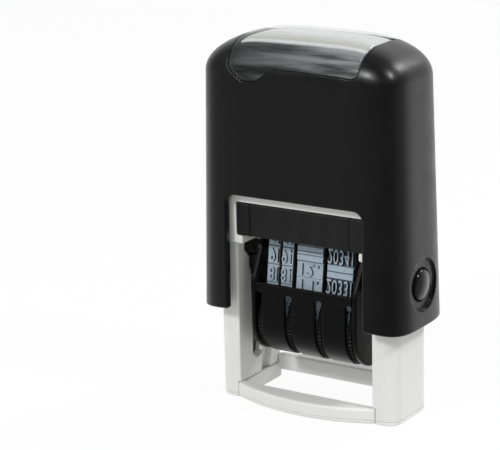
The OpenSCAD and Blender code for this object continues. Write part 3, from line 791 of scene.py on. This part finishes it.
def raised_block(x0, x1, s0, s1, height):
    """Mesh of a low block on the band, with sloping sides and a softened top edge."""
    levels = [(0.1, -0.05), (0.02, height - 0.07), (-0.05, height)]
    along = np.linspace(0, 1, 6)
    points, faces = [], []
    for spread, d in levels:
        s = s0 - spread + (s1 - s0 + 2 * spread) * along
        y, z = on_loop(s, BAND_T + d)
        rows = [np.stack([np.full_like(y, x), y, z], 1) for x in (x0 - spread, x1 + spread)]
        points.append(np.concatenate([rows[0], rows[1][::-1]]))
    m = len(points[0])
    for k in range(len(levels) - 1):
        for i in range(m):
            j = (i + 1) % m
            faces.append((k * m + i, k * m + j, (k + 1) * m + j, (k + 1) * m + i))
    for k, order in ((0, -1), (len(levels) - 1, 1)):
        for i in range(len(along) - 1):
            face = [k * m + i, k * m + i + 1, k * m + m - 2 - i, k * m + m - 1 - i]
            faces.append(face[::order])
    mesh = bpy.data.meshes.new("raised_block")
    mesh.from_pydata((np.concatenate(points) * MM).tolist(), [], faces)
    mesh.update()
    return mesh


def figure(text, width, height, x, s, base, top):
    """Mesh of raised figures, mirrored as on a stamp, set round the band at distance s."""
    curve = bpy.data.curves.new("figure", "FONT")
    curve.body = text
    curve.size = 1
    curve.extrude = 0.5
    curve.resolution_u = 3
    holder = bpy.data.objects.new("figure", curve)
    mesh = bpy.data.meshes.new_from_object(holder)
    bpy.data.objects.remove(holder)
    co = np.array([v.co for v in mesh.vertices], float).reshape(-1, 3)
    lo, hi = co.min(0), co.max(0)
    unit = (co - (lo + hi) / 2) / (hi - lo)
    share = unit[:, 2] + 0.5
    y, z = on_loop(s - unit[:, 1] * height, BAND_T + base + (top - base) * share)
    placed = np.stack([x + unit[:, 0] * width, y, z], 1) * MM
    mesh.vertices.foreach_set("co", placed.astype(np.float32).ravel())
    mesh.flip_normals()
    mesh.update()
    return mesh


def joined(name, meshes):
    """One object from several meshes."""
    shape = bmesh.new()
    for mesh in meshes:
        shape.from_mesh(mesh)
    mesh = bpy.data.meshes.new(name)
    shape.to_mesh(mesh)
    shape.free()
    piece = bpy.data.objects.new(name, mesh)
    bpy.context.scene.collection.objects.link(piece)
    return piece


def date_band(node, rows, row_of):
    """A band and what stands on it. row_of gives the meshes of row i, centred at distance s."""
    lo, hi = box_mm(node)
    # The strip takes the darker rubber, painted shade for the ground between the figures.
    place(band_strip(node + "_strip", lo[0], hi[0]), "carrier", "band_rubber", SHADED_BAND_RUBBER, node)
    meshes = []
    for i in range(rows):
        s = LOOP_LEN * (i if i <= rows / 2 else i - rows) / rows
        meshes += row_of(i if i <= rows / 2 else i - rows, s, lo[0] + 0.1, hi[0] - 0.1)
    place(joined(node + "_figures", meshes), "carrier", "band_rubber", TYPE_RUBBER)


def day_row(i, s, x0, x1):
    """Low plate with a figure and a rib along its edge."""
    middle = (x0 + x1) / 2
    return [raised_block(x0, x1, s - 1.78, s + 1.72, 0.3),
            figure(str((i + 1) % 10), 1.15, 2.7, middle - 0.1, s, 0.25, TYPE_H),
            raised_block(x1 - 0.35, x1 - 0.15, s - 1.4, s + 1.3, TYPE_H)]


def units_row(i, s, x0, x1):
    """Low plate with a figure, a full stop and a short rib."""
    return [raised_block(x0, x1, s - 1.78, s + 1.72, 0.3),
            figure(str((i + 1) % 10), 1.15, 2.7, x0 + 0.75, s, 0.25, TYPE_H),
            raised_block(x1 - 0.75, x1 - 0.35, s + 1.0, s + 1.4, TYPE_H),
            raised_block(x1 - 0.75, x1 - 0.4, s - 1.3, s + 0.6, 0.6)]


def month_row(i, s, x0, x1):
    """Month number on a plate; one row has two plain ribs instead."""
    if i == -2:
        return [raised_block(x0, x1, s + 0.6, s + 1.5, 0.6),
                raised_block(x0, x1, s - 0.1, s + 0.4, 0.6),
                raised_block(x0, x1, s - 1.4, s - 0.3, 0.55)]
    number = (i + 14) % 12 + 1
    middle = (x0 + x1) / 2
    width = 1.3 if number < 10 else 2.9
    return [raised_block(x0, x1, s - 1.55, s + 1.5, 0.3),
            figure(str(number), width, 2.35, middle - 0.45, s, 0.25, TYPE_H),
            raised_block(x1 - 1.4, x1 - 0.9, s + 0.7, s + 1.15, TYPE_H)]


def year_row(i, s, x0, x1):
    """Year on every second row, with two plain ribs between."""
    if i % 2:
        return [raised_block(x0 + 0.1, x1, s - 1.25, s - 0.15, 0.6),
                raised_block(x0 + 0.1, x1, s + 0.1, s + 1.25, 0.6)]
    return [figure(str(2035 + i // 2), 4.9, 3.0, x0 + 2.6, s, -0.05, TYPE_H),
            raised_block(x1 - 0.4, x1 - 0.15, s - 1.4, s + 1.4, TYPE_H)]


def knurled_wheel(node):
    """Setting wheel: toothed hub and a disc with rounded ribs round its edge."""
    lo, hi = box_mm(node)
    r, ribs, disc_t = hi[1], 54, 0.7
    flip = node == "day_tens_wheel"
    x0, x1 = (lo[0], lo[0] + disc_t) if flip else (hi[0] - disc_t, hi[0])
    rim0, rim1 = (x0, x1 + 0.3) if flip else (x0 - 0.3, x1)

    def field(x, y, z):
        dz = z - WHEEL_Z
        radius = np.hypot(y, dz)
        turn = np.arctan2(dz, y)
        edge = radius - r + 0.13 * (1 - np.cos(ribs * turn))
        rim = meet(meet(edge, slab(x, rim0, rim1), 0.12), 6.45 - radius)
        disc = join(meet(edge, slab(x, x0, x1), 0.12), rim)
        hub = meet(radius - 4.1 - 0.15 * np.cos(12 * turn), slab(x, lo[0], hi[0]), 0.1)
        return cut(join(disc, hub), radius - 1.3, 0.05)

    axes = [axis(lo[0], hi[0], 0.4, (rim0 - 0.1, rim1 + 0.1, 0.12)), axis(-r, r, 0.14),
            axis(WHEEL_Z - r, WHEEL_Z + r, 0.14)]
    piece = field_piece(node + "_knurled", field, axes)
    place(piece, node.replace("_wheel", ""), "carrier_plastic", CARRIER_PLASTIC, node)


def wheel_guard():
    """Cover round the wheels: strips between the knurled discs, joined at their upper ends."""
    r, t, top, slot_half = 7.4, 0.75, SHELL_HI[2], 0.8
    nodes = ("day_units_wheel", "month_wheel", "year_wheel")
    slots = [box_mm(node)[1][0] - 0.35 for node in nodes]
    left = box_mm("day_tens_wheel")[0][0] + 0.35 + slot_half

    def field(x, y, z):
        dz = z - WHEEL_Z
        shell = np.abs(np.where(dz < 0, np.hypot(y, dz), np.abs(y)) - r + t / 2) - t / 2
        shell = meet(shell, z - top, 0.3)
        shell = meet(shell, np.abs(x) - SHELL_HI[0], 0.1)
        shell = cut(shell, meet(x - left, z - top + 1.9, 0.6), 0.2)
        for x0 in slots:
            shell = cut(shell, rect(x - x0, z - top + 1.9 + 40, slot_half, 40, 0.6), 0.2)
        return shell

    axes = [axis(SHELL_LO[0], SHELL_HI[0], 0.22), axis(-r, r, 0.18),
            axis(WHEEL_Z - r, top, 0.2)]
    piece = field_piece("wheel_guard", field, axes)
    place(piece, "carrier", "carrier_plastic", CARRIER_PLASTIC, "wheel_cover")


def cheek_plate(node):
    """Side plate of the carrier with its hub, guide pin, holes for the pivot and the wheel axle, and a
    small square hole near its top.
    """
    mirrored = -1 if node == "left_cheek" else 1
    angle = math.radians(GUIDE_ANGLE)
    pin_y, pin_z = GUIDE_ARM * math.sin(angle), PIVOT_Z + GUIDE_ARM * math.cos(angle)

    def field(x, y, z):
        u = x * mirrored
        dz = z - WHEEL_Z
        width = np.interp(z, [25.6, 26.4, 33, 34.9], [7.3, 7.0, 3.6, 2.6])
        low = np.where(dz < 0, np.hypot(y, dz) - 7.3, np.abs(y) - width)
        plan = np.maximum(low, z - 34.9)
        f = meet(plan, slab(u, 11.2, 12.2), 0.25)
        f = join(f, rod(y, z - PIVOT_Z, u, 3.2, 12, 15.2, 0.2), 0.3)
        f = join(f, rod(y - pin_y, z - pin_z, u, 1.5, 12, 16.5, 0.2), 0.2)
        f = cut(f, rod(y, z - PIVOT_Z, u, 2.0, 10, 16), 0.1)
        f = cut(f, rod(y, dz, u, 1.25, 10, 16), 0.1)
        return cut(f, rect(y, z - 33.3, 1, 1, 0.1), 0.1)

    span = (11.2, 16.5) if mirrored > 0 else (-16.5, -11.2)
    axes = [axis(*span, 0.18), axis(-7.3, 7.3, 0.22), axis(9.7, 34.9, 0.22)]
    piece = field_piece(node + "_plate", field, axes)
    place(piece, "carrier", "carrier_plastic", CARRIER_PLASTIC, node)


def lock_button(node):
    """Domed button with a rolled edge, turned about the X axis."""
    lo, hi = box_mm(node)
    side = -1 if node.startswith("left") else 1
    inner, outer = (lo[0], hi[0]) if side > 0 else (-hi[0], -lo[0])
    dome_rise = 0.6
    dome_r = (BUTTON_R ** 2 + dome_rise ** 2) / (2 * dome_rise)
    flange_r, flange_x = 4.1, 22.05

    def field(x, y, z):
        u, radius = x * side, np.hypot(y, z - PIVOT_Z)
        dome = np.hypot(u - outer + dome_r, radius) - dome_r
        stem = meet(meet(radius - BUTTON_R, slab(u, inner, outer + 1)), dome, 0.35)
        flange = meet(radius - flange_r, slab(u, inner, flange_x), 0.1)
        return join(stem, flange)

    axes = [axis(lo[0], hi[0], 0.15), axis(-flange_r, flange_r, 0.18),
            axis(PIVOT_Z - flange_r, PIVOT_Z + flange_r, 0.18)]
    piece = field_piece(node + "_cap", field, axes)
    place(piece, node.replace("_lock", ""), "button_plastic", BUTTON_PLASTIC, node)


def coil_spring():
    """Return spring of round wire with closed ends."""
    turns, steps, sides = 8, 28, 10
    wire, radius = 0.45, (SPRING_HI[0] - SPRING_LO[0]) / 2 - 0.45
    low, high = SPRING_LO[2] + wire, SPRING_HI[2] - wire
    n = turns * steps
    angle = 2 * math.pi * np.arange(n + 1) / steps
    share = np.arange(n + 1) / n
    z = low + (high - low) * share
    b = 2 * math.pi * np.arange(sides) / sides
    r = radius + wire * np.cos(b)[None, :]
    points = np.stack([r * np.cos(angle)[:, None], r * np.sin(angle)[:, None],
                       z[:, None] + wire * np.sin(b)[None, :]], -1)
    index = np.arange((n + 1) * sides).reshape(n + 1, sides)
    beside = np.roll(index, -1, 1)
    faces = np.stack([index[:-1], index[1:], beside[1:], beside[:-1]], -1).reshape(-1, 4).tolist()
    faces += [index[0].tolist(), index[-1][::-1].tolist()]
    piece = mesh_piece("coil_spring", points.reshape(-1, 3), faces)
    piece.data.set_sharp_from_angle(angle=math.radians(50))
    place(piece, "base", "steel", STEEL, "return_spring")
    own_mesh(piece)


# ------------------------------------------------------------------ CAD nodes that stay

def finish_node(node, finish, width=0.12):
    """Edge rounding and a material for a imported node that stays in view."""
    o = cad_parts[node]
    weld = o.modifiers.new("weld", "WELD")
    weld.merge_threshold = 0.000001
    if width:
        soft = o.modifiers.new("soft_edges", "BEVEL")
        soft.width = width * MM
        soft.segments = 2
        soft.limit_method = "ANGLE"
        soft.angle_limit = math.radians(40)
        soft.harden_normals = True
    for slot in o.material_slots:
        slot.material = finish


def by_ray(tree, seen, mirrored, scattered):
    """Number that depends on the ray: seen directly, mirrored by gloss, or scattered."""
    path = tree.nodes.new("ShaderNodeLightPath")
    direct = tree.nodes.new("ShaderNodeMath")
    direct.operation = "MAXIMUM"
    tree.links.new(path.outputs["Is Camera Ray"], direct.inputs[0])
    tree.links.new(path.outputs["Is Transmission Ray"], direct.inputs[1])
    level = scattered
    for share, value in ((path.outputs["Is Glossy Ray"], mirrored), (direct.outputs[0], seen)):
        mix = tree.nodes.new("ShaderNodeMix")
        for socket, item in ((2, level), (3, value)):
            if isinstance(item, float):
                mix.inputs[socket].default_value = item
            else:
                tree.links.new(item, mix.inputs[socket])
        tree.links.new(share, mix.inputs[0])
        level = mix.outputs[0]
    return level


def towards(azimuth, elevation):
    """Direction from the object, azimuth counted from its front towards its right side."""
    az, el = math.radians(azimuth), math.radians(elevation)
    return Vector((math.sin(az) * math.cos(el), -math.cos(az) * math.cos(el), math.sin(el)))


def gloss_level(tree, direction, towards_camera):
    """Brightness that glossy surfaces mirror: dark behind the camera, lighter behind the object.

    The stops run from straight behind the object, -1, to straight behind the camera, 1."""
    facing = tree.nodes.new("ShaderNodeVectorMath")
    facing.operation = "DOT_PRODUCT"
    tree.links.new(direction, facing.inputs[0])
    facing.inputs[1].default_value = towards_camera
    ramp = tree.nodes.new("ShaderNodeValToRGB")
    tree.links.new(remap(tree, facing.outputs["Value"], -1, 1, 0, 1), ramp.inputs[0])
    stops = ((-0.62, 1.0), (-0.15, 0.17), (0.3, 0.14), (0.65, 0.0))
    elements = ramp.color_ramp.elements
    while len(elements) < len(stops):
        elements.new(0.5)
    for element, (place_at, level) in zip(elements, stops):
        element.position = (place_at + 1) / 2
        element.color = (level, level, level, 1)
    scaled = tree.nodes.new("ShaderNodeMath")
    scaled.operation = "MULTIPLY"
    scaled.inputs[1].default_value = 1.15
    tree.links.new(ramp.outputs["Color"], scaled.inputs[0])
    return scaled.outputs[0]


def pale_floor():
    """Wide white floor: bright to the eye, dim in the gloss of the dark plastic."""
    size = 4.0
    floor = mesh_piece("floor", np.array([(-1, -1, 0), (1, -1, 0), (1, 1, 0), (-1, 1, 0)])
                       * size / MM, [(0, 1, 2, 3)])
    floor.location.z = -0.0002
    m, tree, shader, _ = material("pale_floor")
    shader.inputs["Base Color"].default_value = (0.06, 0.06, 0.06, 1)
    shader.inputs["Roughness"].default_value = 1
    shader.inputs["Specular IOR Level"].default_value = 0
    shader.inputs["Emission Color"].default_value = (1, 1, 1, 1)
    incoming = tree.nodes.new("ShaderNodeNewGeometry").outputs["Incoming"]
    mirrored = gloss_level(tree, incoming, -towards(VIEW_AZIMUTH, VIEW_ELEVATION))
    tree.links.new(by_ray(tree, 0.93, mirrored, 0.6), shader.inputs["Emission Strength"])
    floor.data.materials.append(m)


case_shell()
clear_cover()
index_card()
base_body()
foot_ring()
cartridge_body()
date_band("day_tens_band", 16, day_row)
date_band("day_units_band", 16, units_row)
date_band("month_band", 19, month_row)
date_band("year_band", 20, year_row)
for node in ("day_tens_wheel", "day_units_wheel", "month_wheel", "year_wheel"):
    knurled_wheel(node)
wheel_guard()
for node in ("left_cheek", "right_cheek"):
    cheek_plate(node)
for node in ("left_lock_button", "right_lock_button"):
    lock_button(node)
coil_spring()
for node in ("slide_bow", "platen_bridge"):
    finish_node(node, CARRIER_PLASTIC)
for node in ("left_pivot_pin", "right_pivot_pin", "wheel_axle"):
    finish_node(node, STEEL, 0)
finish_node("ink_pad", INKED_FELT, 0.3)
pale_floor()


# ------------------------------------------------------------------ light and camera

def look_from(azimuth, elevation, roll, target, distance):
    """World matrix of a camera that looks at target, turned round its own axis by roll."""
    az, ro = math.radians(azimuth), math.radians(roll)
    back = towards(azimuth, elevation)
    right = Vector((math.cos(az), math.sin(az), 0))
    up = back.cross(right)
    x = right * math.cos(ro) + up * math.sin(ro)
    y = up * math.cos(ro) - right * math.sin(ro)
    m = Matrix((x, y, back)).transposed().to_4x4()
    m.translation = Vector(target) + back * distance
    return m


def camera():
    data = bpy.data.cameras.new("camera")
    data.lens = 145.5
    data.sensor_width = 36
    data.clip_start = 0.01
    o = bpy.data.objects.new("camera", data)
    target = (-0.01672, -0.00003, 0.03485)
    o.matrix_world = look_from(VIEW_AZIMUTH, VIEW_ELEVATION, -1.49, target, 0.41196)
    bpy.context.scene.collection.objects.link(o)
    bpy.context.scene.camera = o


def area(name, azimuth, elevation, distance, size, power):
    """Soft lamp aimed at the object."""
    data = bpy.data.lights.new(name, "AREA")
    data.shape = "RECTANGLE"
    data.size, data.size_y = size
    data.energy = power
    o = bpy.data.objects.new(name, data)
    o.matrix_world = look_from(azimuth, elevation, 0, (0, 0, 0.04), distance)
    bpy.context.scene.collection.objects.link(o)


def surroundings():
    """White studio. In gloss it is dark behind the camera and lighter behind the object."""
    world = bpy.data.worlds.new("surroundings")
    bpy.context.scene.world = world
    world.use_nodes = True
    tree = world.node_tree
    back = tree.nodes["Background"]
    back.inputs["Color"].default_value = (1, 1, 1, 1)
    coord = tree.nodes.new("ShaderNodeTexCoord")
    mirrored = gloss_level(tree, coord.outputs["Generated"], towards(VIEW_AZIMUTH, VIEW_ELEVATION))
    tree.links.new(by_ray(tree, 1.0, mirrored, 0.62), back.inputs["Strength"])
    bpy.context.scene.view_settings.view_transform = "Standard"


camera()
area("front_lamp", -12, 35, 0.6, (0.08, 0.08), 1.3)
area("right_lamp", 89, 48, 0.6, (0.08, 0.08), 1.3)
area("rear_lamp", 151, 38, 0.6, (0.12, 0.12), 0.7)
surroundings()
